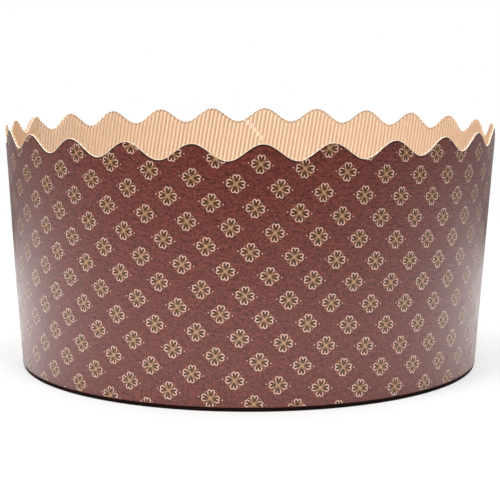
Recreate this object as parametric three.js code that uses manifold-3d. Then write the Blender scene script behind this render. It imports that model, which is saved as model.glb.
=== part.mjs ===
// Paper panettone mould: a scalloped ring of fluted paper glued round a fluted paper base.
// Units are millimetres and +Z is up. The origin is on the table, at the centre of the base.
// The front of the mould faces -Y. A turn is an angle round +Z, measured from the front
// towards +X.
//
// The wall is made the way the real one is. A web of single-face fluted paper is laid out
// flat, a blank is cut from it with one scalloped edge, and the blank is rolled into a cone.
// The flutes run straight across the web, so on the rolled wall their lean changes all the
// way round, from one end of the lap to the other.

import * as THREE from "three";
import { mergeVertices } from "three/addons/utils/BufferGeometryUtils.js";
import Module from "manifold-3d";

const wasm = await Module();
wasm.setup();

// Driving sizes of the mould
const BASE_DIAMETER = 170; // outside, at the table
const HEIGHT = 88.7; // table to the tips of the scallops
const FLARE = THREE.MathUtils.degToRad(3.87); // lean of the wall away from upright

// Scalloped upper edge
const SCALLOPS = 25;
const SCALLOP_DEPTH = 5.5; // tip to hollow
const FIRST_TIP = THREE.MathUtils.degToRad(2.875); // turn of the tip nearest the front
const POINTS_PER_SCALLOP = 8;

// Single-face fluted paper
const PAPER = 0.2; // one sheet: the liner, or the fluted sheet glued to it
const BOARD = 1.0; // liner face to flute crest
const FLUTE_PITCH = 1.73;
const FLUTES_PER_FACET = 3; // flutes behind each flat of the rolled liner
const WEB_STEP = 70; // longest straight run of a flute on the rolled wall
const FLUTE_LEAN = THREE.MathUtils.degToRad(6.77); // at the front, from upright towards +X

// Glued lap that closes the ring, at the back left
const LAP_TURN = THREE.MathUtils.degToRad(-109); // middle of the lap
const LAP_WIDTH = 11;
const LAP_RISE = 18; // length over which the outer end climbs onto the inner end
const GLUE = 0.3; // space between the two layers of the lap
const GLUE_WIDTH = 4; // of the bead, along the middle of the lap
const GLUE_MARGIN = 1.5; // bare paper left above and below the bead
const GLUE_BITE = 0.1; // depth that the glue soaks into each layer

// Lower edge folded inward under the base
const FOLD_RISE = 1.4; // table to the top of the pressed fold
const FOLD_LIP = 0.08; // distance that the pressed fold stands proud of each face of the wall
const FOLD_BEAD = 0.3; // height of the bead along the top of the fold
const FOLD_RECESS = 0.35; // distance that the fold is pressed in below its bead
const FOLD_RADIUS = 0.3; // outside the corner of the fold
const FOLD_OVERLAP = 0.2; // depth to which the wall runs down into the bead
const FLANGE_WIDTH = 8;
const FLANGE_THICKNESS = 0.9; // pressed flutes, a little thinner than the board
const RING_FACETS = 75;

// Base
const BASE_CLEARANCE = 0.4; // between the base's rim and the flute crests of the wall
const STEAM_HOLE = 6; // diameter
const STEAM_HOLES = 8; // in one circle, with one more in the middle
const STEAM_CIRCLE = 90; // diameter of that circle
const HOLE_FACETS = 12;

// Extra reach of cutting tools past what they cut
const CUTTER_MARGIN = 1;

// Values worked out from the driving sizes
const BASE_RADIUS = BASE_DIAMETER / 2;
const SLANT_TO_TABLE = BASE_RADIUS / Math.sin(FLARE); // cone's point to the table, on the wall
const LAP_START = LAP_TURN - LAP_WIDTH / BASE_DIAMETER;
const LAP_END = LAP_TURN + LAP_WIDTH / BASE_DIAMETER + 2 * Math.PI;
const LAP_CLIMB_START = LAP_END - (LAP_WIDTH + LAP_RISE) / BASE_RADIUS;
const LAP_CLIMB_END = LAP_END - LAP_WIDTH / BASE_RADIUS;

/** Radius of the wall's outer face at a height. */
function wallRadius(height) {
  return BASE_RADIUS + height * Math.tan(FLARE);
}

/** Height of the scalloped edge at a turn. */
function rimHeight(turn) {
  const wave = Math.cos(SCALLOPS * (turn - FIRST_TIP));
  return HEIGHT - (SCALLOP_DEPTH * (1 - wave)) / 2;
}

/** Distance by which the outer end of the strip stands off the wall at a turn. */
function lapLift(turn) {
  return (BOARD + GLUE) * THREE.MathUtils.smoothstep(turn, LAP_CLIMB_START, LAP_CLIMB_END);
}

/** Point of the flat sheet that rolls onto a turn and a height: x along the strip, y up it. */
function flatPoint(turn, height) {
  const slant = SLANT_TO_TABLE + height / Math.cos(FLARE);
  const spread = turn * Math.sin(FLARE);
  return new THREE.Vector2(slant * Math.sin(spread), slant * Math.cos(spread) - SLANT_TO_TABLE);
}

/** Place on the rolled wall of a point of the flat sheet, where z is out of the printed face. */
function rolledPoint(flat) {
  const slant = Math.hypot(flat.x, flat.y + SLANT_TO_TABLE);
  const turn = Math.atan2(flat.x, flat.y + SLANT_TO_TABLE) / Math.sin(FLARE);
  const out = flat.z + lapLift(turn);
  const radius = slant * Math.sin(FLARE) + out * Math.cos(FLARE);
  const height = (slant - SLANT_TO_TABLE) * Math.cos(FLARE) - out * Math.sin(FLARE);
  return new THREE.Vector3(radius * Math.sin(turn), -radius * Math.cos(turn), height);
}

/** Closed geometry as a solid. Each pair of triangles is a face, so flat areas keep their points. */
function toSolid(geometry) {
  const bare = geometry.clone();
  bare.deleteAttribute("normal");
  bare.deleteAttribute("uv");
  const merged = mergeVertices(bare);
  const triVerts = Uint32Array.from(merged.index.array);
  const faceID = Uint32Array.from({ length: triVerts.length / 3 }, (_, face) => face >> 1);
  const vertProperties = Float32Array.from(merged.attributes.position.array);
  return new wasm.Manifold(new wasm.Mesh({ numProp: 3, vertProperties, triVerts, faceID }));
}

/** Solid as a geometry, with each point moved by a function of its place. */
function toGeometry(solid, place = (point) => point) {
  const mesh = solid.getMesh();
  const positions = new Float32Array(mesh.numVert * 3);
  for (let index = 0; index < mesh.numVert; index += 1) {
    const point = new THREE.Vector3().fromArray(mesh.vertProperties, index * mesh.numProp);
    place(point).toArray(positions, index * 3);
  }
  const geometry = new THREE.BufferGeometry();
  geometry.setAttribute("position", new THREE.BufferAttribute(positions, 3));
  geometry.setIndex(new THREE.BufferAttribute(Uint32Array.from(mesh.triVerts), 1));
  geometry.computeVertexNormals();
  return geometry;
}

/** Section across a web of fluted paper: the smooth liner at y = 0, the flute crests at y = BOARD. */
function flutedSection(from, to) {
  const first = Math.floor(from / FLUTE_PITCH);
  const last = first + FLUTES_PER_FACET * Math.ceil((to / FLUTE_PITCH - first) / FLUTES_PER_FACET);
  const section = new THREE.Shape();
  section.moveTo(first * FLUTE_PITCH, 0);
  for (let flute = first + FLUTES_PER_FACET; flute <= last; flute += FLUTES_PER_FACET) {
    section.lineTo(flute * FLUTE_PITCH, 0);
  }
  section.lineTo(last * FLUTE_PITCH, 2 * PAPER);
  for (let flute = last - 1; flute >= first; flute -= 1) {
    section.lineTo((flute + 0.5) * FLUTE_PITCH, BOARD);
    section.lineTo(flute * FLUTE_PITCH, 2 * PAPER);
  }
  return section;
}

/** Outline of the flat blank between two turns, from the fold up to the scalloped edge. */
function blankOutline(from, to) {
  const steps = Math.ceil(((to - from) / (2 * Math.PI)) * SCALLOPS * POINTS_PER_SCALLOP);
  const turnAt = (step) => THREE.MathUtils.lerp(from, to, step / steps);
  const lower = [];
  const upper = [];
  for (let step = 0; step <= steps; step += 1) {
    const turn = turnAt(step);
    upper.unshift(flatPoint(turn, rimHeight(turn)));
    if (step % (POINTS_PER_SCALLOP / 2) === 0 || step === steps) {
      lower.push(flatPoint(turn, FOLD_RISE - FOLD_OVERLAP));
    }
  }
  return [...lower, ...upper];
}

/** Flat web of fluted paper that covers an outline, with its flutes at the lean of the front. */
function flutedWeb(outline) {
  const alongFlute = new THREE.Vector2(Math.sin(FLUTE_LEAN), Math.cos(FLUTE_LEAN));
  const acrossFlute = new THREE.Vector2(Math.cos(FLUTE_LEAN), -Math.sin(FLUTE_LEAN));
  const across = outline.map((point) => point.dot(acrossFlute));
  const along = outline.map((point) => point.dot(alongFlute));
  const lowest = Math.min(...along) - CUTTER_MARGIN;
  const length = Math.max(...along) + CUTTER_MARGIN - lowest;
  const section = flutedSection(
    Math.min(...across) - CUTTER_MARGIN,
    Math.max(...across) + CUTTER_MARGIN,
  );
  const web = new THREE.ExtrudeGeometry(section, {
    depth: length,
    steps: Math.ceil(length / WEB_STEP),
    bevelEnabled: false,
  });
  const frame = new THREE.Matrix4().makeBasis(
    new THREE.Vector3(acrossFlute.x, acrossFlute.y, 0),
    new THREE.Vector3(0, 0, -1),
    new THREE.Vector3(alongFlute.x, alongFlute.y, 0),
  );
  frame.setPosition(alongFlute.x * lowest, alongFlute.y * lowest, 0);
  return web.applyMatrix4(frame);
}

/** Prism over an outline of the flat sheet, between two distances from the printed face. */
function flatPrism(outline, below, above) {
  const prism = new THREE.ExtrudeGeometry(new THREE.Shape(outline), {
    depth: above - below,
    bevelEnabled: false,
  });
  return prism.translate(0, 0, below);
}

/** The scalloped blank, cut from the web and rolled up. */
function rolledBlank() {
  const outline = blankOutline(LAP_START, LAP_END);
  const web = toSolid(flutedWeb(outline));
  const cutter = toSolid(flatPrism(outline, -BOARD - CUTTER_MARGIN, CUTTER_MARGIN));
  return toSolid(toGeometry(web.intersect(cutter), rolledPoint));
}

/** The bead of glue that joins the two layers of the lap, below the scalloped edge. */
function lapGlue() {
  const from = LAP_TURN - GLUE_WIDTH / BASE_DIAMETER;
  const to = LAP_TURN + GLUE_WIDTH / BASE_DIAMETER;
  const low = FOLD_RISE + GLUE_MARGIN;
  const high = HEIGHT - SCALLOP_DEPTH - GLUE_MARGIN;
  const outline = [
    flatPoint(from, low),
    flatPoint(to, low),
    flatPoint(to, high),
    flatPoint(from, high),
  ];
  const bead = toSolid(flatPrism(outline, -GLUE_BITE, GLUE + GLUE_BITE));
  return toSolid(toGeometry(bead, rolledPoint));
}

/** The pressed fold at the foot of the wall and the flange turned inward from it. */
function foldedFlange() {
  const outer = wallRadius(FOLD_RISE) + FOLD_LIP;
  const inner = wallRadius(FOLD_RISE) - BOARD / Math.cos(FLARE) - FOLD_LIP;
  const flangeEdge = outer - FLANGE_WIDTH;
  const pressed = outer - FOLD_RECESS;
  const corner = pressed - FOLD_RADIUS;
  const profile = new THREE.Path();
  profile.moveTo(inner, FOLD_RISE);
  profile.lineTo(inner, FLANGE_THICKNESS);
  profile.lineTo(flangeEdge, FLANGE_THICKNESS);
  profile.lineTo(flangeEdge, 0);
  profile.lineTo(corner, 0);
  profile.absarc(corner, FOLD_RADIUS, FOLD_RADIUS, -Math.PI / 2, 0, false);
  profile.lineTo(pressed, FOLD_RISE - FOLD_BEAD - FOLD_RECESS / 2);
  profile.lineTo(outer, FOLD_RISE - FOLD_BEAD);
  profile.lineTo(outer, FOLD_RISE);
  profile.closePath();
  const ring = new THREE.LatheGeometry(profile.getPoints(1), RING_FACETS);
  return toSolid(ring.rotateX(Math.PI / 2));
}

/** The whole side wall: rolled blank, glued lap and folded flange, one folded sheet of paper. */
function makeSideWall() {
  const wall = rolledBlank().add(lapGlue()).add(foldedFlange());
  const print = new THREE.MeshStandardMaterial({ color: 0x6e2730, roughness: 0.55, metalness: 0 });
  const mesh = new THREE.Mesh(toGeometry(wall), print);
  mesh.name = "side_wall";
  return mesh;
}

/** Upright cylinder standing at a place in the plan, from below the base to above it. */
function punch(x, y, radius, facets) {
  const tool = new THREE.CylinderGeometry(radius, radius, BOARD + 2 * CUTTER_MARGIN, facets);
  tool.rotateX(Math.PI / 2);
  return toSolid(tool.translate(x, y, BOARD / 2));
}

/** The round base: fluted paper, liner down, cut to a disc and punched for steam. */
function makeBaseDisc() {
  const radius = wallRadius(FLANGE_THICKNESS) - BOARD / Math.cos(FLARE) - BASE_CLEARANCE;
  const reach = radius + CUTTER_MARGIN;
  const web = new THREE.ExtrudeGeometry(flutedSection(-reach, reach), {
    depth: 2 * reach,
    bevelEnabled: false,
  });
  web.rotateX(Math.PI / 2).translate(0, reach, 0);
  let disc = toSolid(web).intersect(punch(0, 0, radius, RING_FACETS));
  disc = disc.subtract(punch(0, 0, STEAM_HOLE / 2, HOLE_FACETS));
  for (let hole = 0; hole < STEAM_HOLES; hole += 1) {
    const turn = ((hole + 0.5) / STEAM_HOLES) * 2 * Math.PI;
    const x = (STEAM_CIRCLE / 2) * Math.sin(turn);
    const y = -(STEAM_CIRCLE / 2) * Math.cos(turn);
    disc = disc.subtract(punch(x, y, STEAM_HOLE / 2, HOLE_FACETS));
  }
  const kraft = new THREE.MeshStandardMaterial({ color: 0xc9a27a, roughness: 0.85, metalness: 0 });
  const mesh = new THREE.Mesh(toGeometry(disc), kraft);
  mesh.name = "base_disc";
  mesh.position.z = FLANGE_THICKNESS;
  return mesh;
}

const group = new THREE.Group();
group.add(makeSideWall(), makeBaseDisc());

export default group;
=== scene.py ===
"""Looks of a round paper panettone mould: printed wall, scalloped rim and fluted inside."""

import logging
import math
import random
from dataclasses import dataclass, field
from enum import Enum, IntEnum
from typing import Any

import bpy
import numpy as np
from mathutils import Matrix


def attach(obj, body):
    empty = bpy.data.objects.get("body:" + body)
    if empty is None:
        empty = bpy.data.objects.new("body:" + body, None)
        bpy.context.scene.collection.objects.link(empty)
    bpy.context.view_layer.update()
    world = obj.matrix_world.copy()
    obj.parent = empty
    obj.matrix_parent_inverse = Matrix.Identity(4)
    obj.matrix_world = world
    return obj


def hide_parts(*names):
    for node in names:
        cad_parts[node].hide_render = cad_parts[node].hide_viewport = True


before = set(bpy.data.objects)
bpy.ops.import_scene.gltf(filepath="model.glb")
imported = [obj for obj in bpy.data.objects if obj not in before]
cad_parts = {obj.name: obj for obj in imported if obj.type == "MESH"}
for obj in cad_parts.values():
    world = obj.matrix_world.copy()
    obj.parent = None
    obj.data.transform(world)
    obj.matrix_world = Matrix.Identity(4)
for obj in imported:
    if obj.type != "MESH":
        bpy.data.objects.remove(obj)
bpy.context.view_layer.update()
LOG = logging.getLogger("panettone_mould")
MM = 0.001
BODY = "root"


class Slot(Enum):
    """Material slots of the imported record."""

    PRINTED = "printed_fluted_paper"
    KRAFT = "kraft_fluted_paper"


def linear(colour: str) -> tuple[float, float, float, float]:
    """Turn an sRGB hex colour into linear light.

    Args:
        colour: Six hex digits with a leading hash.

    Returns:
        Red, green, blue and alpha, from 0 to 1.
    """
    channels = [int(colour[at : at + 2], 16) / 255 for at in (1, 3, 5)]
    bent = [c / 12.92 if c <= 0.04045 else ((c + 0.055) / 1.055) ** 2.4 for c in channels]
    return (*bent, 1.0)


def smoothstep(value: np.ndarray, low: float, high: float) -> np.ndarray:
    """Rise smoothly from 0 at low to 1 at high."""
    share = np.clip((value - low) / (high - low), 0.0, 1.0)
    return share * share * (3.0 - 2.0 * share)


def turned(points: np.ndarray, quarters: float) -> np.ndarray:
    """Turn flat points about the origin by a number of quarter turns."""
    angle = quarters * math.pi / 2
    return points @ np.array([[math.cos(angle), math.sin(angle)],
                              [-math.sin(angle), math.cos(angle)]])


def band_scale(pitch: float) -> float:
    """Scale at which Blender's wave texture has one band for each pitch."""
    return math.pi / 10 / pitch


def add_node(tree: bpy.types.NodeTree, kind: str, settings: dict[str | int, Any] | None = None,
             links: dict[str | int, bpy.types.NodeSocket] | None = None) -> bpy.types.Node:
    """Add a node to a tree with its settings and links.

    Args:
        tree: The node tree.
        kind: The node's Blender type name.
        settings: Values by attribute name or, failing that, by input name or number.
        links: Output sockets by the input name or number that they feed.

    Returns:
        The new node.
    """
    node = tree.nodes.new(kind)
    for name, value in (settings or {}).items():
        if isinstance(name, str) and hasattr(node, name):
            setattr(node, name, value)
        else:
            node.inputs[name].default_value = value
    for name, source in (links or {}).items():
        tree.links.new(source, node.inputs[name])
    return node


def new_material(name: str) -> tuple[bpy.types.Material, bpy.types.NodeTree]:
    """Make an empty node material.

    Args:
        name: The finish's name.

    Returns:
        The material and its cleared node tree.
    """
    material = bpy.data.materials.new(name)
    material.use_nodes = True
    material.node_tree.nodes.clear()
    return material, material.node_tree


@dataclass(frozen=True)
class GreaseproofPrint:
    """Maroon ink flooded over greaseproof paper.

    The fat-tight sizing leaves a satin skin over the ink, so the wall keeps its red in the
    middle and takes a pale veil from the table low down and at its sides. The paper cockles
    in short level wrinkles, the ink is mottled by the paper's grain, and the flutes behind it
    show through as faint ribs.
    """

    ink: str = "#400804"
    worn_ink: str = "#84392A"
    roughness: float = 0.36
    specular: float = 0.38
    coat: float = 0.80
    coat_roughness: float = 0.26
    wrinkle_width: float = 2.2 * MM
    wrinkle_height: float = 0.62 * MM
    wrinkle_depth: float = 0.13 * MM
    rib_depth: float = 0.020 * MM
    mottle: float = 0.85 * MM
    fresh_below: float = 0.78
    worn_above: float = 1.24

    def build(self, flute_pitch: float) -> bpy.types.Material:
        """Make the material.

        Args:
            flute_pitch: Distance between the flutes behind the paper, in metres.

        Returns:
            The material, which reads the web coordinates, in metres, from the UV map.
        """
        material, tree = new_material("greaseproof_print")
        web = add_node(tree, "ShaderNodeUVMap", {"uv_map": PaperSheet.WEB_MAP})
        stretched = add_node(tree, "ShaderNodeMapping",
                             {"Scale": (1 / self.wrinkle_width, 1 / self.wrinkle_height, 1.0)},
                             {"Vector": web.outputs["UV"]})
        wrinkle = add_node(tree, "ShaderNodeTexNoise",
                           {"Scale": 1.0, "Detail": 4.0, "Roughness": 0.6, "Distortion": 0.8},
                           {"Vector": stretched.outputs["Vector"]})
        ribs = add_node(tree, "ShaderNodeTexWave",
                        {"wave_type": "BANDS", "bands_direction": "X",
                         "Scale": band_scale(flute_pitch), "Distortion": 0.0},
                        {"Vector": web.outputs["UV"]})
        mottle = add_node(tree, "ShaderNodeTexNoise",
                          {"Scale": 1 / self.mottle, "Detail": 2.0, "Roughness": 0.6},
                          {"Vector": web.outputs["UV"]})
        rubbed = add_node(tree, "ShaderNodeMath", {"operation": "ADD"},
                          {0: wrinkle.outputs["Fac"], 1: mottle.outputs["Fac"]})
        wear = add_node(tree, "ShaderNodeMapRange", {1: self.fresh_below, 2: self.worn_above},
                        {0: rubbed.outputs[0]})
        tint = add_node(tree, "ShaderNodeMix",
                        {"data_type": "RGBA", 6: linear(self.ink), 7: linear(self.worn_ink)},
                        {0: wear.outputs["Result"]})
        wrinkled = add_node(tree, "ShaderNodeBump",
                            {"Strength": 1.0, "Distance": self.wrinkle_depth},
                            {"Height": wrinkle.outputs["Fac"]})
        ribbed = add_node(tree, "ShaderNodeBump",
                          {"Strength": 1.0, "Distance": self.rib_depth},
                          {"Height": ribs.outputs["Fac"], "Normal": wrinkled.outputs["Normal"]})
        shader = add_node(tree, "ShaderNodeBsdfPrincipled",
                          {"Roughness": self.roughness, "Specular IOR Level": self.specular,
                           "Coat Weight": self.coat, "Coat Roughness": self.coat_roughness},
                          {"Base Color": tint.outputs[2], "Normal": ribbed.outputs["Normal"],
                           "Coat Normal": ribbed.outputs["Normal"]})
        add_node(tree, "ShaderNodeOutputMaterial", None, {"Surface": shader.outputs["BSDF"]})
        return material


@dataclass(frozen=True)
class PrintedInk:
    """A further ink on the greaseproof paper, slightly uneven as a screened ink is."""

    name: str
    colour: str
    roughness: float = 0.36
    specular: float = 0.38
    coat: float = 0.80
    coat_roughness: float = 0.26
    # The grain of such ink is about 0.1 mm, and is drawn two pixels wide so that it shows
    grain: float = 0.8 * MM
    unevenness: float = 0.2

    def build(self) -> bpy.types.Material:
        """Make the material, which reads the web coordinates from the UV map."""
        material, tree = new_material(self.name)
        web = add_node(tree, "ShaderNodeUVMap", {"uv_map": PaperSheet.WEB_MAP})
        grain = add_node(tree, "ShaderNodeTexNoise", {"Scale": 1 / self.grain, "Detail": 2.0},
                         {"Vector": web.outputs["UV"]})
        value = add_node(tree, "ShaderNodeMapRange",
                         {3: 1 - self.unevenness, 4: 1 + self.unevenness},
                         {0: grain.outputs["Fac"]})
        uneven = add_node(tree, "ShaderNodeHueSaturation", {"Color": linear(self.colour)},
                          {"Value": value.outputs["Result"]})
        shader = add_node(tree, "ShaderNodeBsdfPrincipled",
                          {"Roughness": self.roughness, "Specular IOR Level": self.specular,
                           "Coat Weight": self.coat, "Coat Roughness": self.coat_roughness},
                          {"Base Color": uneven.outputs["Color"]})
        add_node(tree, "ShaderNodeOutputMaterial", None, {"Surface": shader.outputs["BSDF"]})
        return material


@dataclass(frozen=True)
class KraftPaper:
    """Pale kraft fluting paper, machine-made and unsized.

    It is dull and fibrous. Its flutes are drawn pale on the crests and darker tan in the
    hollows between them, which is painted shade in the hollows.
    """

    crest: str = "#F6E3CC"
    hollow_shade: str = "#CBA889"
    roughness: float = 0.85
    specular: float = 0.3
    fibre_length: float = 2.2 * MM
    # Real fibres are about 0.03 mm wide, and are drawn one pixel wide so that they show
    fibre_width: float = 0.35 * MM
    fibre_depth: float = 0.015 * MM
    fibre_spread: tuple[float, float] = (0.25, 0.75)
    fibre_tone: tuple[float, float] = (0.92, 1.06)

    def build(self, name: str, flute_pitch: float | None,
              rolled: bool = True) -> bpy.types.Material:
        """Make the material.

        Args:
            name: The material's name.
            flute_pitch: Distance between flute crests in metres, or None on plain paper.
            rolled: Whether the piece was rolled from the flat web. Other pieces lie flat, with
                their flutes along Y.

        Returns:
            The material, which reads the web coordinates of a rolled piece, in metres, from the
            UV map, and those of a flat one from its own place.
        """
        material, tree = new_material(name)
        if rolled:
            web = add_node(tree, "ShaderNodeUVMap", {"uv_map": PaperSheet.WEB_MAP}).outputs["UV"]
        else:
            web = add_node(tree, "ShaderNodeTexCoord").outputs["Object"]
        stretched = add_node(tree, "ShaderNodeMapping",
                             {"Scale": (1 / self.fibre_width, 1 / self.fibre_length, 1.0)},
                             {"Vector": web})
        fibre = add_node(tree, "ShaderNodeTexNoise",
                         {"Scale": 1.0, "Detail": 4.0, "Roughness": 0.65},
                         {"Vector": stretched.outputs["Vector"]})
        (thin, thick), (dull, bright) = self.fibre_spread, self.fibre_tone
        speck = add_node(tree, "ShaderNodeMapRange", {1: thin, 2: thick, 3: dull, 4: bright},
                         {0: fibre.outputs["Fac"]})
        if flute_pitch is None:
            paper = add_node(tree, "ShaderNodeRGB")
            paper.outputs[0].default_value = linear(self.crest)
            colour = paper.outputs[0]
        else:
            wave = add_node(tree, "ShaderNodeTexWave",
                            {"wave_type": "BANDS", "bands_direction": "X",
                             "Scale": band_scale(flute_pitch),
                             "Phase Offset": math.pi, "Distortion": 0.0},
                            {"Vector": web})
            # Painted shade: across each flute the colour runs from the pale crest to the darker tan
            # of its hollow
            flute_shade = add_node(tree, "ShaderNodeMix",
                            {"data_type": "RGBA", 6: linear(self.hollow_shade), 7: linear(self.crest)},
                            {0: wave.outputs["Fac"]})
            colour = flute_shade.outputs[2]
        uneven = add_node(tree, "ShaderNodeHueSaturation", None,
                          {"Color": colour, "Value": speck.outputs["Result"]})
        bump = add_node(tree, "ShaderNodeBump", {"Strength": 1.0, "Distance": self.fibre_depth},
                        {"Height": fibre.outputs["Fac"]})
        shader = add_node(tree, "ShaderNodeBsdfPrincipled",
                          {"Roughness": self.roughness, "Specular IOR Level": self.specular},
                          {"Base Color": uneven.outputs["Color"], "Normal": bump.outputs["Normal"]})
        add_node(tree, "ShaderNodeOutputMaterial", None, {"Surface": shader.outputs["BSDF"]})
        return material


# A thin dark line along the outer face, drawn just below the pale cut at the rim
DARK_RIM_LINE_INK = PrintedInk("dark_rim_line_ink", "#33110D")
# Painted shade in the pressed fold: the print there is drawn nearly black, dull and without its
# satin skin
FOLD_SHADE_INK = PrintedInk("painted_fold_shade_ink", "#1A0B08", roughness=0.9, specular=0.1, coat=0.0)
# Flat olive brown that fills the petals, a little duller than the ground round them
OLIVE_INK = PrintedInk("olive_ink", "#55300F", coat=0.38)
# Dark brown printed over the olive, which sinks the lobes of the petals
DARK_BROWN_INK = PrintedInk("dark_brown_ink", "#3A1A08", coat=0.30)
# Ochre of the fine lines, which draws the petal sides and the cross between them
OCHRE_INK = PrintedInk("ochre_ink", "#DCAF86")
# Cream of the widest lines, the brightest tone on the wall
CREAM_INK = PrintedInk("cream_ink", "#EBC3AF")

# Freshly cut pulp, paler than the face of the kraft, which lines the rim with a bright thread
BARE_PULP = KraftPaper(crest="#FFEBD2")
# Kraft seen into the ends of the flutes, where little light reaches it
SHADED_KRAFT = KraftPaper(crest="#7C6858")
# Pale kraft on the crushed flutes, a painted highlight where their bent crests catch more light
# than the rolled crests
CRUMPLE_HIGHLIGHT_KRAFT = KraftPaper(crest="#FFF2DC")


@dataclass(frozen=True)
class MouldShape:
    """Sizes of the mould, in metres and radians, as the solid model has them.

    Two things are the scene's own: the lean of the soft left wall, and the twist of the flutes
    round the back, from one turn to another.

    A turn is an angle round +Z, measured from the front towards +X.
    """

    base_radius: float = 85.0 * MM
    height: float = 88.7 * MM
    flare: float = math.radians(3.87)
    scallops: int = 25
    scallop_depth: float = 5.5 * MM
    first_tip: float = math.radians(2.875)
    paper: float = 0.2 * MM
    board: float = 1.0 * MM
    flute_pitch: float = 1.73 * MM
    flute_lean: float = math.radians(6.77)
    lap_turn: float = math.radians(-109)
    lap_width: float = 11 * MM
    lap_rise: float = 18 * MM
    glue: float = 0.3 * MM
    fold_rise: float = 1.4 * MM
    lean_turn: float = math.radians(-88)
    lean_spread: float = math.radians(38)
    lean_depth: float = 1.0 * MM
    lean_start: float = 20 * MM
    back_twist: float = math.radians(-4.3)
    twist_from: float = 1.3
    twist_to: float = 2.3
    web_samples: int = 200

    @property
    def slant_to_table(self) -> float:
        """Distance down the wall from the cone's point to the table."""
        return self.base_radius / math.sin(self.flare)

    @property
    def lap_start(self) -> float:
        """Turn of the inner end of the strip."""
        return self.lap_turn - self.lap_width / 2 / self.base_radius

    @property
    def lap_end(self) -> float:
        """Turn of the outer end of the strip, one turn and a lap after its start."""
        return self.lap_turn + self.lap_width / 2 / self.base_radius + 2 * math.pi

    def rim(self, turn: np.ndarray) -> np.ndarray:
        """Height of the scalloped edge."""
        wave = np.cos(self.scallops * (turn - self.first_tip))
        return self.height - self.scallop_depth * (1 - wave) / 2

    def lift(self, turn: np.ndarray) -> np.ndarray:
        """Distance by which the outer end of the strip stands off the wall."""
        climb = self.lap_end - (self.lap_width + self.lap_rise) / self.base_radius
        top = self.lap_end - self.lap_width / self.base_radius
        return (self.board + self.glue) * smoothstep(turn, climb, top)

    def lean(self, turn: np.ndarray, height: np.ndarray) -> np.ndarray:
        """Distance by which the soft wall stands inward of a true cone, at the left."""
        away = np.abs((turn - self.lean_turn + math.pi) % (2 * math.pi) - math.pi)
        share = 1 - smoothstep(away, 0.0, self.lean_spread)
        return self.lean_depth * share * smoothstep(height, self.lean_start, self.height)

    def place(self, turn: np.ndarray, height: np.ndarray, out: np.ndarray) -> np.ndarray:
        """Roll points of the strip onto the cone.

        Args:
            turn: Turns round the mould.
            height: Heights up the printed face.
            out: Distances out of the printed face.

        Returns:
            Points, one row each.
        """
        proud = out + self.lift(turn) - self.lean(turn, height)
        radius = self.base_radius + height * math.tan(self.flare) + proud * math.cos(self.flare)
        rise = height - proud * math.sin(self.flare)
        return np.stack([radius * np.sin(turn), -radius * np.cos(turn), rise], axis=-1)

    def to_web(self, turn: np.ndarray, height: np.ndarray) -> np.ndarray:
        """Lay points of the wall out on the flat web, as across and along its flutes."""
        slant = self.slant_to_table + height / math.cos(self.flare)
        spread = turn * math.sin(self.flare)
        x = slant * np.sin(spread)
        y = slant * np.cos(spread) - self.slant_to_table
        across = x * math.cos(self.flute_lean) - y * math.sin(self.flute_lean)
        along = x * math.sin(self.flute_lean) + y * math.cos(self.flute_lean)
        return np.stack([across, along], axis=-1)

    def from_web(self, across: np.ndarray, along: np.ndarray) -> tuple[np.ndarray, np.ndarray]:
        """Find the turn and height of points of the flat web."""
        x = across * math.cos(self.flute_lean) + along * math.sin(self.flute_lean)
        y = along * math.cos(self.flute_lean) - across * math.sin(self.flute_lean)
        down = y + self.slant_to_table
        turn = np.arctan2(x, down) / math.sin(self.flare)
        height = (np.hypot(x, down) - self.slant_to_table) * math.cos(self.flare)
        return turn, height

    def web_reach(self) -> tuple[np.ndarray, np.ndarray]:
        """Find the least and the greatest places of the wall across and along the web."""
        turn = np.linspace(self.lap_start, self.lap_end, self.web_samples)[:, None]
        corners = self.to_web(turn, np.array([[0.0, self.height]])).reshape(-1, 2)
        return corners.min(axis=0), corners.max(axis=0)

    def twisted(self, turn: np.ndarray, height: np.ndarray) -> np.ndarray:
        """Turn of a flute where the strip was rolled slightly askew, round the back."""
        lean = self.back_twist * smoothstep(turn, self.twist_from, self.twist_to)
        return turn + np.tan(lean) * (height - self.height / 2) / self.base_radius


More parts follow.
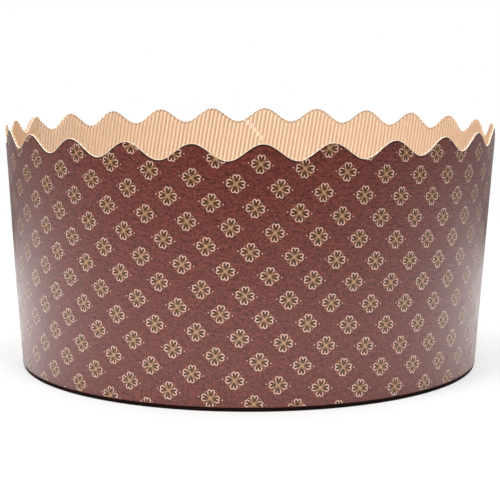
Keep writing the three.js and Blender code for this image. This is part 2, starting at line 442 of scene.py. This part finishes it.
class PaperSheet:
    """A closed thin sheet over a grid of points, or a flat film, as one Blender mesh."""

    WEB_MAP = "web"

    @staticmethod
    def grid(rows: int, columns: int, start: int = 0) -> np.ndarray:
        """Faces of a grid of points, turned outward where columns run with the turn and rows up."""
        index = start + np.arange(rows * columns).reshape(rows, columns)
        corners = (index[:-1, :-1], index[:-1, 1:], index[1:, 1:], index[1:, :-1])
        return np.stack(corners, axis=-1).reshape(-1, 4)

    @staticmethod
    def border(rows: int, columns: int, back: int) -> np.ndarray:
        """Faces that close the four edges between a front grid and the grid behind it.

        Args:
            rows: Rows of each grid.
            columns: Columns of each grid.
            back: First point of the grid behind.

        Returns:
            Four-cornered faces: the upper edge, the lower edge, then the two ends.
        """
        index = np.arange(rows * columns).reshape(rows, columns)
        upper, lower = index[-1], index[0][::-1]
        start, end = index[:, 0][::-1], index[:, -1]
        strips = []
        for edge in (upper, lower):
            strips.append(np.stack([edge[:-1], edge[1:], edge[1:] + back, edge[:-1] + back], 1))
        for edge in (start, end):
            strips.append(np.stack([edge[1:], edge[:-1], edge[:-1] + back, edge[1:] + back], 1))
        return np.concatenate(strips)

    @classmethod
    def make(cls, name: str, points: np.ndarray, faces: np.ndarray, web: np.ndarray,
             materials: list[bpy.types.Material], finish: np.ndarray | None = None,
             crease: float = 50.0) -> bpy.types.Object:
        """Make a piece that rides on the mould.

        Args:
            name: The piece's name.
            points: Its points, one row each.
            faces: Its faces, each a row of point numbers.
            web: The flat web coordinates of each point, for the materials.
            materials: The finishes it has.
            finish: Which of them each face has, or None for the first.
            crease: Smallest angle in degrees between faces that makes a hard edge.

        Returns:
            The new object.
        """
        mesh = bpy.data.meshes.new(name)
        mesh.from_pydata(points.tolist(), [], faces.tolist())
        for material in materials:
            mesh.materials.append(material)
        if finish is not None:
            mesh.polygons.foreach_set("material_index", finish.astype(np.int32))
        corners = np.zeros(len(mesh.loops), np.int32)
        mesh.loops.foreach_get("vertex_index", corners)
        layer = mesh.uv_layers.new(name=cls.WEB_MAP)
        layer.data.foreach_set("uv", web[corners].astype(np.float32).ravel())
        mesh.polygons.foreach_set("use_smooth", np.ones(len(mesh.polygons), bool))
        mesh.set_sharp_from_angle(angle=math.radians(crease))
        mesh.update()
        piece = bpy.data.objects.new(name, mesh)
        bpy.context.scene.collection.objects.link(piece)
        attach(piece, BODY)
        return piece


class LinerFinish(IntEnum):
    """Finishes of the liner, numbered in the order of its materials."""

    PRINT = 0
    DARK_RIM_LINE = 1
    CUT = 2
    BACK = 3


@dataclass
class SideWall:
    """The rolled strip of single-face fluted paper: its printed liner and its fluted sheet."""

    shape: MouldShape
    columns_per_scallop: int = 24
    liner_rows: int = 14
    columns_per_flute: int = 8
    flute_rows: int = 10
    mouth: float = 0.75 * MM
    mouth_share: float = 0.6
    cut_pulp: float = 0.18 * MM
    cut_shadow: float = 0.72 * MM
    foot: float = 1.55 * MM
    shortest_flute: float = 0.4 * MM
    search_steps: int = 300
    search_halvings: int = 14
    flute_crease: float = 65.0

    def printed_liner(self) -> bpy.types.Object:
        """Make the smooth outer sheet, with the dark line below its rim and its pale cut."""
        s = self.shape
        turns = (s.lap_end - s.lap_start) / (2 * math.pi)
        columns = int(turns * s.scallops * self.columns_per_scallop)
        turn = np.linspace(s.lap_start, s.lap_end, columns)
        edge = s.rim(turn)
        share = np.linspace(0.0, 1.0, self.liner_rows - 2)[:, None]
        height = self.foot + share * (edge - self.cut_shadow - self.foot)
        height = np.vstack([height, edge - self.cut_pulp, edge])
        turn_grid = np.broadcast_to(turn, height.shape)
        front = s.place(turn_grid, height, np.zeros_like(height)).reshape(-1, 3)
        back = s.place(turn_grid, height, np.full_like(height, -s.paper)).reshape(-1, 3)
        grid = PaperSheet.grid(self.liner_rows, columns)
        behind = grid[:, ::-1] + len(front)
        border = PaperSheet.border(self.liner_rows, columns, len(front))
        face = np.full((self.liner_rows - 1, columns - 1), LinerFinish.PRINT)
        face[-2:] = [[LinerFinish.DARK_RIM_LINE], [LinerFinish.CUT]]
        finish = np.concatenate([face.ravel(), np.full(len(behind), LinerFinish.BACK),
                                 np.full(len(border), LinerFinish.CUT)])
        web = s.to_web(turn_grid, height).reshape(-1, 2)
        piece = PaperSheet.make(
            "printed_liner", np.concatenate([front, back]),
            np.concatenate([grid, behind, border]), np.concatenate([web, web]),
            [GreaseproofPrint().build(s.flute_pitch), DARK_RIM_LINE_INK.build(),
             BARE_PULP.build("bare_pulp", None), KraftPaper().build("liner_back", None)],
            finish)
        return piece

    def flute_ends(self, across: np.ndarray, low: float,
                   high: float) -> tuple[np.ndarray, np.ndarray]:
        """Find where each line along the web enters and leaves the blank.

        Args:
            across: Places of the lines across the web.
            low: Lowest place along the web to look at.
            high: Highest place along the web to look at.

        Returns:
            The places along the web where each line enters and leaves.
        """
        s = self.shape

        def inside(along: np.ndarray) -> np.ndarray:
            """Whether the point of each line at a place along the web lies on the blank."""
            turn, height = s.from_web(across, along)
            turn = s.twisted(turn, height)
            upright = (height >= self.foot) & (height <= s.rim(turn))
            return upright & (turn >= s.lap_start) & (turn <= s.lap_end)

        steps = np.linspace(low, high, self.search_steps)
        found = np.stack([inside(np.full_like(across, step)) for step in steps])
        width = steps[1] - steps[0]
        first = steps[found.argmax(axis=0)]
        last = steps[len(steps) - 1 - found[::-1].argmax(axis=0)]
        ends = []
        for edge, outward in ((first, -width), (last, width)):
            within, beyond = edge.copy(), edge + outward
            for _ in range(self.search_halvings):
                middle = (within + beyond) / 2
                good = inside(middle)
                within = np.where(good, middle, within)
                beyond = np.where(good, beyond, middle)
            ends.append(np.where(found.any(axis=0), within, np.nan))
        return ends[0], ends[1]

    def fluted_sheet(self) -> bpy.types.Object:
        """Make the waved kraft sheet behind the liner, with real channels between the two."""
        s = self.shape
        low, high = s.web_reach()
        step = s.flute_pitch / self.columns_per_flute
        across = np.arange(math.floor(low[0] / step), math.ceil(high[0] / step)) * step
        enter, leave = self.flute_ends(across, low[1], high[1])
        kept = np.nan_to_num(leave - enter) > self.shortest_flute
        across, enter, leave = across[kept], enter[kept], leave[kept]
        share = np.linspace(0.0, 1.0, self.flute_rows - 1)[:, None]
        along = np.vstack([enter + share * (leave - self.mouth - enter), leave])
        across_grid = np.broadcast_to(across, along.shape)
        turn, height = s.from_web(across_grid, along)
        turn = s.twisted(turn, height)
        crest = (1 - np.cos(2 * math.pi * across_grid / s.flute_pitch)) / 2
        depth = s.paper + (s.board - 2 * s.paper) * crest
        front = s.place(turn, height, -depth).reshape(-1, 3)
        back = s.place(turn, height, -depth - s.paper).reshape(-1, 3)
        grid = PaperSheet.grid(*along.shape)
        faces = np.concatenate([grid, grid[:, ::-1] + len(front),
                                PaperSheet.border(*along.shape, len(front))])
        web = np.stack([across_grid, along], axis=-1).reshape(-1, 2)
        # The last row of the inner face is grey in the hollows, where the mouths are shaded
        hollow_shade = crest[-1, 1:] + crest[-1, :-1] < self.mouth_share
        finish = np.zeros(len(faces), int)
        top_row = 2 * len(grid) - len(hollow_shade)
        finish[top_row : 2 * len(grid)] = hollow_shade
        piece = PaperSheet.make("fluted_sheet", np.concatenate([front, back]), faces,
                                np.concatenate([web, web]),
                                [KraftPaper().build("kraft_flutes", s.flute_pitch),
                                 SHADED_KRAFT.build("shaded_mouths", None)],
                                finish, self.flute_crease)
        return piece

    def build(self) -> list[bpy.types.Object]:
        """Make the wall's two sheets, which stand for the solid wall with the pressed foot."""
        pieces = [self.printed_liner(), self.fluted_sheet()]
        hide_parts("side_wall")
        return pieces


@dataclass
class PressedFoot:
    """The fold at the foot of the wall: a bead, a pressed crease and a flange turned inward."""

    shape: MouldShape
    bead_rise: float = 0.3 * MM
    bead: float = 0.18 * MM
    lip: float = 0.08 * MM
    recess: float = 0.35 * MM
    corner: float = 0.3 * MM
    corner_steps: int = 5
    flange_width: float = 8 * MM
    flange: float = 0.9 * MM
    ring_steps: int = 360
    crease: float = 30.0

    def profile(self) -> list[tuple[float, float]]:
        """Corners of the fold's section, from inside over the flange and up the outside.

        Returns:
            A radius and a height for each corner.
        """
        s = self.shape
        top = s.fold_rise + self.bead_rise
        outer = s.base_radius + top * math.tan(s.flare) + self.lip
        inner = outer - 2 * self.lip - s.board
        pressed = outer - self.recess
        bend = [(pressed - self.corner * (1 - math.sin(angle)), self.corner * (1 - math.cos(angle)))
                for angle in np.linspace(0, math.pi / 2, self.corner_steps)]
        return [(inner, top), (inner, self.flange), (outer - self.flange_width, self.flange),
                (outer - self.flange_width, 0.0), *bend,
                (pressed, top - self.bead - self.recess / 2), (outer, top - self.bead),
                (outer, top)]

    def build(self) -> list[bpy.types.Object]:
        """Turn the section round the mould, with near-black painted shade between its flange and
        its bead.
        """
        turn = np.linspace(0, 2 * math.pi, self.ring_steps + 1)[:-1]
        ring = np.array([[(r * math.sin(t), -r * math.cos(t), z) for t in turn]
                         for r, z in self.profile()])
        rows, columns = ring.shape[:2]
        index = np.arange(rows * columns).reshape(rows, columns)
        above = np.roll(index, -1, axis=0)
        faces = np.stack([index, above, np.roll(above, -1, 1), np.roll(index, -1, 1)], -1)
        finish = np.zeros(faces.shape[:2], int)
        # Near-black painted shade runs from under the flange up to the lower side of the bead
        finish[3:-2] = 1
        points = ring.reshape(-1, 3)
        piece = PaperSheet.make(
            "pressed_fold", points, faces.reshape(-1, 4)[:, ::-1], points[:, :2],
            [GreaseproofPrint().build(self.shape.flute_pitch), FOLD_SHADE_INK.build()],
            finish.ravel(), self.crease)
        return [piece]


@dataclass
class InkFilm:
    """Gathers flat shapes of one ink, and rolls them onto the wall."""

    points: list[np.ndarray] = field(default_factory=list)
    faces: list[np.ndarray] = field(default_factory=list)
    count: int = 0

    def add(self, points: np.ndarray, faces: np.ndarray) -> None:
        """Add points and three-cornered faces."""
        self.points.append(points)
        self.faces.append(faces + self.count)
        self.count += len(points)

    def blob(self, outline: np.ndarray, centre: np.ndarray) -> None:
        """Fill an outline with a fan of faces round a centre."""
        ring = np.arange(len(outline))
        fan = np.stack([np.full(len(outline), len(outline)), ring, np.roll(ring, -1)], 1)
        self.add(np.vstack([outline, centre]), fan)

    def dot(self, centre: np.ndarray, radius: float, sides: int = 8) -> None:
        """Add a round dot."""
        angle = np.linspace(0, 2 * math.pi, sides, endpoint=False)
        self.blob(centre + radius * np.stack([np.cos(angle), np.sin(angle)], -1), centre)

    def ribbon(self, path: np.ndarray, width: np.ndarray | float, closed: bool = False) -> None:
        """Add a band along a path.

        Args:
            path: The band's middle, one point in each row.
            width: Its width, or its width at each point.
            closed: Whether the last point joins the first.
        """
        ahead = np.roll(path, -1, 0) - np.roll(path, 1, 0)
        if not closed:
            ahead[0], ahead[-1] = path[1] - path[0], path[-1] - path[-2]
        side = np.stack([-ahead[:, 1], ahead[:, 0]], -1)
        side *= (np.broadcast_to(width, len(path)) / 2 / np.linalg.norm(side, axis=1))[:, None]
        count = len(path)
        left = np.arange(count if closed else count - 1)
        nxt = (left + 1) % count
        quads = [np.stack([left + count, nxt + count, nxt], 1),
                 np.stack([left + count, nxt, left], 1)]
        self.add(np.vstack([path + side, path - side]), np.vstack(quads))

    def flat(self) -> tuple[np.ndarray, np.ndarray]:
        """All points and faces so far."""
        return np.vstack(self.points), np.vstack(self.faces)


@dataclass
class CrushedFlutes:
    """The pale flecks, painted highlights where the flutes of the back wall were crushed along a
    line.

    The line runs from its start to its end, each given as a turn and a height.
    """

    shape: MouldShape
    start: tuple[float, float] = (math.pi + 0.050, 83.6 * MM)
    end: tuple[float, float] = (math.pi - 0.036, 75.6 * MM)
    flecks: int = 16
    seed: int = 7
    stray_turn: float = 0.004
    reach: tuple[float, float] = (0.35 * MM, 0.95 * MM)
    stray_lean: float = 0.25 * MM
    widths: tuple[float, float, float] = (0.2 * MM, 0.7 * MM, 0.3 * MM)
    proud: float = 0.03 * MM

    def build(self) -> list[bpy.types.Object]:
        """Lay a fleck on the crest nearest to each place along the line."""
        s = self.shape
        chance = random.Random(self.seed)
        film = InkFilm()
        (turn0, height0), (turn1, height1) = self.start, self.end
        for at in np.linspace(0.0, 1.0, self.flecks):
            turn = turn0 + at * (turn1 - turn0) + chance.uniform(-self.stray_turn, self.stray_turn)
            height = height0 + at * (height1 - height0)
            across, along = s.to_web(np.array(turn), np.array(height))
            across = (round(across / s.flute_pitch - 0.5) + 0.5) * s.flute_pitch
            reach = chance.uniform(*self.reach)
            lean = chance.uniform(-self.stray_lean, self.stray_lean)
            path = np.array([[across - lean, along - reach], [across, along],
                             [across + lean, along + reach]])
            film.ribbon(path, np.array(self.widths))
        web, faces = film.flat()
        turn, height = s.from_web(web[:, 0], web[:, 1])
        out = np.full(len(web), -s.board - self.proud)
        piece = PaperSheet.make("crumple_flecks", s.place(s.twisted(turn, height), height, out),
                                faces[:, ::-1], web, [CRUMPLE_HIGHLIGHT_KRAFT.build("crumple_highlights", None)])
        return [piece]


@dataclass(frozen=True)
class Rosette:
    """One printed rosette of four heart-shaped petals, in metres on the flat web."""

    petal_width: float = 2.22 * MM
    petal_length: float = 2.60 * MM
    petal_base: float = 0.34 * MM
    side_fullness: float = 1.9
    lobe_fullness: float = 2.8
    line: float = 0.29 * MM
    side_line: float = 0.10 * MM
    lobe_start: float = 1.60 * MM
    trap: float = 0.26 * MM
    curl: float = 0.17 * MM
    curl_place: float = 2.14 * MM
    lobe: float = 0.27 * MM
    lobe_place: tuple[float, float] = (0.52 * MM, 2.27 * MM)
    vein: float = 0.13 * MM
    vein_length: float = 1.9 * MM
    vein_taper: tuple[float, float, float] = (1.5, 1.0, 0.5)
    ray: float = 0.13 * MM
    ray_start: float = 2.35 * MM
    ray_end: float = 2.95 * MM
    outer_ray_end: float = 2.782 * MM
    ray_fan: float = math.radians(14)
    side_dot: float = 0.21 * MM
    side_dot_place: float = 3.95 * MM
    fill_points: int = 20
    line_points: int = 28
    lobe_sides: int = 7
    centre_share: float = 0.55

    def heart(self, count: int, grow: float = 0.0) -> np.ndarray:
        """Points round the common heart curve, with its tip towards the origin.

        Args:
            count: How many points.
            grow: How far each point is moved outward.

        Returns:
            Points, one row each, from the notch clockwise.
        """
        t = np.linspace(0, 2 * math.pi, count, endpoint=False)
        lobe = (1 + np.cos(t)) / 2
        fullness = self.side_fullness + lobe * (self.lobe_fullness - self.side_fullness)
        x = np.sign(np.sin(t)) * np.abs(np.sin(t)) ** fullness / 2
        # The common heart curve, brought to 0 at its tip and about 1 at the top of its lobes
        y = (13 * np.cos(t) - 5 * np.cos(2 * t) - 2 * np.cos(3 * t) - np.cos(4 * t) + 17) / 29
        points = np.stack([x * self.petal_width, self.petal_base + y * self.petal_length], -1)
        centre = np.array([0.0, self.petal_base + self.centre_share * self.petal_length])
        ray = points - centre
        return points + grow * ray / np.linalg.norm(ray, axis=1, keepdims=True)


@dataclass
class PrintedOrnament:
    """The rosettes, printed in a half-drop lattice square to the flutes of the web."""

    shape: MouldShape
    rosette: Rosette = Rosette()
    first: tuple[float, float] = (8.43 * MM, -4.31 * MM)
    step: tuple[float, float] = (7.19 * MM, 7.21 * MM)
    fill_proud: float = 0.012 * MM
    line_proud: float = 0.024 * MM
    layer: float = 0.010 * MM
    bare_edge: float = 0.15 * MM

    def fills(self) -> InkFilm:
        """The brown hearts, which run a little past the pale outlines on them."""
        r = self.rosette
        film = InkFilm()
        for quarter in range(4):
            outline = turned(r.heart(r.fill_points, r.trap), quarter)
            film.blob(outline, outline.mean(axis=0))
        return film

    def lobes(self) -> InkFilm:
        """The dark spots in the two lobes of each petal."""
        r = self.rosette
        film = InkFilm()
        for quarter in range(4):
            for side in (-1, 1):
                spot = np.array([[side * r.lobe_place[0], r.lobe_place[1]]])
                film.dot(turned(spot, quarter)[0], r.lobe, r.lobe_sides)
        return film

    def lines(self) -> InkFilm:
        """The pale outlines, curls and side dots."""
        r = self.rosette
        film = InkFilm()
        lobes = np.roll(r.heart(r.line_points), r.line_points // 2, axis=0)
        lobes = lobes[np.hypot(*lobes.T) > r.lobe_start]
        for quarter in range(4):
            film.ribbon(turned(lobes, quarter), r.line)
            film.dot(turned(np.array([[0.0, r.curl_place]]), quarter)[0], r.curl)
        for side in (-1, 1):
            film.dot(np.array([side * r.side_dot_place, 0.0]), r.side_dot)
        return film

    def veins(self) -> InkFilm:
        """The duller petal sides, the crossed veins and the fine rays between the petals."""
        r = self.rosette
        film = InkFilm()
        sides = r.heart(r.line_points)
        sides = sides[np.hypot(*sides.T) < r.lobe_start + r.line]
        for quarter in range(4):
            film.ribbon(turned(sides, quarter), r.side_line)
            vein = np.array([[0.0, 0.0], [0.0, r.vein_length / 2], [0.0, r.vein_length]])
            film.ribbon(turned(vein, quarter + 0.5), np.array(r.vein_taper) * r.vein)
            for side in (-1, 0, 1):
                lean = side * r.ray_fan
                tip = np.array([math.sin(lean), math.cos(lean)])
                reach = np.array([r.ray_start, r.outer_ray_end if side else r.ray_end])
                film.ribbon(turned(reach[:, None] * tip, quarter + 0.5), r.ray)
        return film

    def centres(self) -> np.ndarray:
        """Places of the rosettes on the flat web, wherever they touch the wall."""
        least, greatest = self.shape.web_reach()
        low = np.floor((least - self.first) / self.step).astype(int) - 1
        high = np.ceil((greatest - self.first) / self.step).astype(int) + 1
        i, j = np.meshgrid(np.arange(low[0], high[0] + 1), np.arange(low[1], high[1] + 1))
        even = (i + j) % 2 == 0
        return np.stack([i[even], j[even]], -1) * self.step + np.array(self.first)

    def roll(self, name: str, film: InkFilm, proud: float, ink: PrintedInk) -> bpy.types.Object:
        """Repeat a flat design over the lattice and roll it onto the wall.

        Args:
            name: The piece's name.
            film: The design at one place.
            proud: How far the ink's face stands out of the paper.
            ink: The finish.

        Returns:
            The ink as one piece, trimmed at the scalloped edge, the fold and the lap.
        """
        s = self.shape
        points, faces = film.flat()
        centres = self.centres()
        web = (centres[:, None, :] + points[None]).reshape(-1, 2)
        starts = np.arange(len(centres)) * len(points)
        faces = (faces[None] + starts[:, None, None]).reshape(-1, 3)
        turn, height = s.from_web(web[:, 0], web[:, 1])
        top = s.rim(turn) - self.bare_edge
        foot = s.fold_rise + self.bare_edge
        covered = s.lap_start + s.lap_width / s.base_radius
        # A face goes if its corners are all above or all below the print, or one is past an end
        end = s.lap_end - self.bare_edge / s.base_radius
        above, below = (height > top)[faces].all(axis=1), (height < foot)[faces].all(axis=1)
        past_end = ((turn < covered) | (turn > end))[faces].any(axis=1)
        faces = faces[~(above | below | past_end)]
        height = np.clip(height, foot, top)
        used, faces = np.unique(faces, return_inverse=True)
        points = s.place(turn[used], height[used], np.full(len(used), proud))
        piece = PaperSheet.make(name, points, faces.reshape(-1, 3), web[used], [ink.build()])
        return piece

    def build(self) -> list[bpy.types.Object]:
        """Print the four inks, each a little proud of the one before."""
        return [
            self.roll("petal_ink", self.fills(), self.fill_proud, OLIVE_INK),
            self.roll("lobe_ink", self.lobes(), self.fill_proud + self.layer / 2, DARK_BROWN_INK),
            self.roll("vein_ink", self.veins(), self.line_proud, OCHRE_INK),
            self.roll("outline_ink", self.lines(), self.line_proud + self.layer, CREAM_INK),
        ]


@dataclass
class BaseDisc:
    """The fluted base, which keeps its solid and gets a kraft finish."""

    shape: MouldShape

    def build(self) -> list[bpy.types.Object]:
        """Dress the solid base."""
        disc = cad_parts["base_disc"]
        disc.data.materials.clear()
        finish = KraftPaper().build("kraft_base", self.shape.flute_pitch, rolled=False)
        disc.data.materials.append(finish)
        return [disc]


@dataclass(frozen=True)
class Softbox:
    """A square soft light that faces the mould: its place and side in metres, and its watts."""

    name: str
    place: tuple[float, float, float]
    side: float
    watts: float


@dataclass
class Studio:
    """A white table under soft light, with the camera where the photograph was taken."""

    camera_back: float = 594.3 * MM
    camera_height: float = 130.9 * MM
    camera_pitch: float = math.radians(8.63)
    focal_pixels: float = 1594.3
    frame_pixels: float = 500.0
    offset_pixels: tuple[float, float] = (1.05, 0.7)
    sensor: float = 36.0
    table_radius: float = 0.45
    table_sides: int = 96
    table_white: float = 0.84
    table_dark: float = 0.02
    near_table: float = 170 * MM
    far_table: float = 335 * MM
    side_reach: float = 0.68
    table_drop: float = 0.05 * MM
    table_glow: float = 0.985
    table_mix: float = 0.5
    dark_side: float = -0.45
    bright_side: float = 0.95
    room_dark: float = 0.02
    room_bright: float = 1.0
    low_room: float = 0.05
    skirting_low: float = -0.20
    skirting_high: float = 0.12
    aim_height: float = 40 * MM
    light_specular: float = 0.2
    softboxes: tuple[Softbox, ...] = (
        Softbox("overhead", (0.0, 0.0, 0.95), 0.9, 9.2),
        Softbox("left_fill", (-0.80, -0.90, 1.00), 0.6, 12.8),
        Softbox("right_fill", (0.60, -1.00, 1.00), 0.6, 8.8),
    )

    def camera(self) -> None:
        """Put the camera at the photograph's viewpoint."""
        data = bpy.data.cameras.new("camera")
        data.sensor_width = self.sensor
        data.lens = self.focal_pixels / self.frame_pixels * self.sensor
        data.shift_x, data.shift_y = (pixels / self.frame_pixels for pixels in self.offset_pixels)
        camera = bpy.data.objects.new("camera", data)
        camera.location = (0.0, -self.camera_back, self.camera_height)
        camera.rotation_euler = (math.pi / 2 - self.camera_pitch, 0.0, 0.0)
        bpy.context.scene.collection.objects.link(camera)
        bpy.context.scene.camera = camera

    def table(self) -> None:
        """Lay a round white table that falls into the dark away from the mould.

        The camera sees it as white paper with the mould's soft shadow. Reflections and bounced
        light see it fade with distance, as a table does that is lit in the middle only.
        """
        angle = np.linspace(0, 2 * math.pi, self.table_sides, endpoint=False)
        ring = self.table_radius * np.stack([np.cos(angle), np.sin(angle), 0 * angle], -1)
        ring[:, 2] = -self.table_drop
        mesh = bpy.data.meshes.new("table")
        mesh.from_pydata(ring.tolist(), [], [list(range(self.table_sides))])
        material, tree = new_material("white_table")
        rays = add_node(tree, "ShaderNodeLightPath")
        place = add_node(tree, "ShaderNodeNewGeometry")
        squeezed = add_node(tree, "ShaderNodeVectorMath",
                            {"operation": "MULTIPLY", 1: (self.side_reach, 1.0, 1.0)},
                            {0: place.outputs["Position"]})
        reach = add_node(tree, "ShaderNodeVectorMath", {"operation": "LENGTH"},
                         {0: squeezed.outputs["Vector"]})
        fade = add_node(tree, "ShaderNodeMapRange",
                        {1: self.near_table, 2: self.far_table,
                         3: self.table_white, 4: self.table_dark},
                        {0: reach.outputs["Value"]})
        level = add_node(tree, "ShaderNodeMix", {"data_type": "FLOAT", 3: self.table_white},
                         {0: rays.outputs["Is Camera Ray"], 2: fade.outputs["Result"]})
        tone = add_node(tree, "ShaderNodeCombineColor", None,
                        {0: level.outputs[0], 1: level.outputs[0], 2: level.outputs[0]})
        share = add_node(tree, "ShaderNodeMath", {"operation": "MULTIPLY", 1: self.table_mix},
                         {0: rays.outputs["Is Camera Ray"]})
        paper = add_node(tree, "ShaderNodeBsdfDiffuse", None, {"Color": tone.outputs[0]})
        white = add_node(tree, "ShaderNodeEmission", {"Color": (1, 1, 1, 1),
                                                      "Strength": self.table_glow})
        both = add_node(tree, "ShaderNodeMixShader", None,
                        {0: share.outputs[0], 1: paper.outputs[0], 2: white.outputs[0]})
        add_node(tree, "ShaderNodeOutputMaterial", None, {"Surface": both.outputs[0]})
        mesh.materials.append(material)
        table = bpy.data.objects.new("table", mesh)
        bpy.context.scene.collection.objects.link(table)

    def hang(self, box: Softbox) -> None:
        """Hang a soft light and turn it towards the mould.

        Args:
            box: The light.
        """
        data = bpy.data.lights.new(box.name, "AREA")
        data.shape = "SQUARE"
        data.size = box.side
        data.energy = box.watts
        data.specular_factor = self.light_specular
        light = bpy.data.objects.new(box.name, data)
        light.location = box.place
        away = np.array(box.place) - np.array([0.0, 0.0, self.aim_height])
        flat = math.hypot(away[0], away[1])
        light.rotation_euler = (math.atan2(flat, away[2]), 0.0,
                                math.atan2(away[0], -away[1]) if flat else 0.0)
        bpy.context.scene.collection.objects.link(light)

    def surroundings(self) -> None:
        """Surround the mould with a white backdrop and a dark room on the camera's side."""
        world = bpy.data.worlds.new("room")
        bpy.context.scene.world = world
        world.use_nodes = True
        tree = world.node_tree
        tree.nodes.clear()
        rays = add_node(tree, "ShaderNodeLightPath")
        way = add_node(tree, "ShaderNodeTexCoord")
        axes = add_node(tree, "ShaderNodeSeparateXYZ", None, {0: way.outputs["Generated"]})
        room = add_node(tree, "ShaderNodeMapRange",
                        {"interpolation_type": "SMOOTHSTEP", 1: self.dark_side,
                         2: self.bright_side, 3: self.room_dark, 4: self.room_bright},
                        {0: axes.outputs["Y"]})
        skirting = add_node(tree, "ShaderNodeMapRange",
                            {1: self.skirting_low, 2: self.skirting_high,
                             3: self.low_room, 4: 1.0},
                            {0: axes.outputs["Z"]})
        dimmed = add_node(tree, "ShaderNodeMath", {"operation": "MULTIPLY"},
                          {0: room.outputs["Result"], 1: skirting.outputs["Result"]})
        level = add_node(tree, "ShaderNodeMix", {"data_type": "FLOAT", 3: 1.0},
                         {0: rays.outputs["Is Camera Ray"], 2: dimmed.outputs[0]})
        glow = add_node(tree, "ShaderNodeBackground", {"Color": (1, 1, 1, 1)},
                        {"Strength": level.outputs[0]})
        add_node(tree, "ShaderNodeOutputWorld", None, {"Surface": glow.outputs[0]})

    def build(self) -> None:
        """Set up camera, table, lights and view settings."""
        self.camera()
        self.table()
        for box in self.softboxes:
            self.hang(box)
        self.surroundings()
        bpy.context.scene.view_settings.view_transform = "Standard"


def main() -> None:
    """Build the studio and the mould, and report each piece."""
    logging.basicConfig(level=logging.INFO, format="%(name)s: %(message)s")
    Studio().build()
    shape = MouldShape()
    parts = (SideWall(shape), PressedFoot(shape), CrushedFlutes(shape), PrintedOrnament(shape),
             BaseDisc(shape))
    for part in parts:
        for piece in part.build():
            triangles = sum(len(face.vertices) - 2 for face in piece.data.polygons)
            LOG.info("%s: %s, %d triangles", type(part).__name__, piece.name, triangles)


if __name__ == "__main__":
    main()
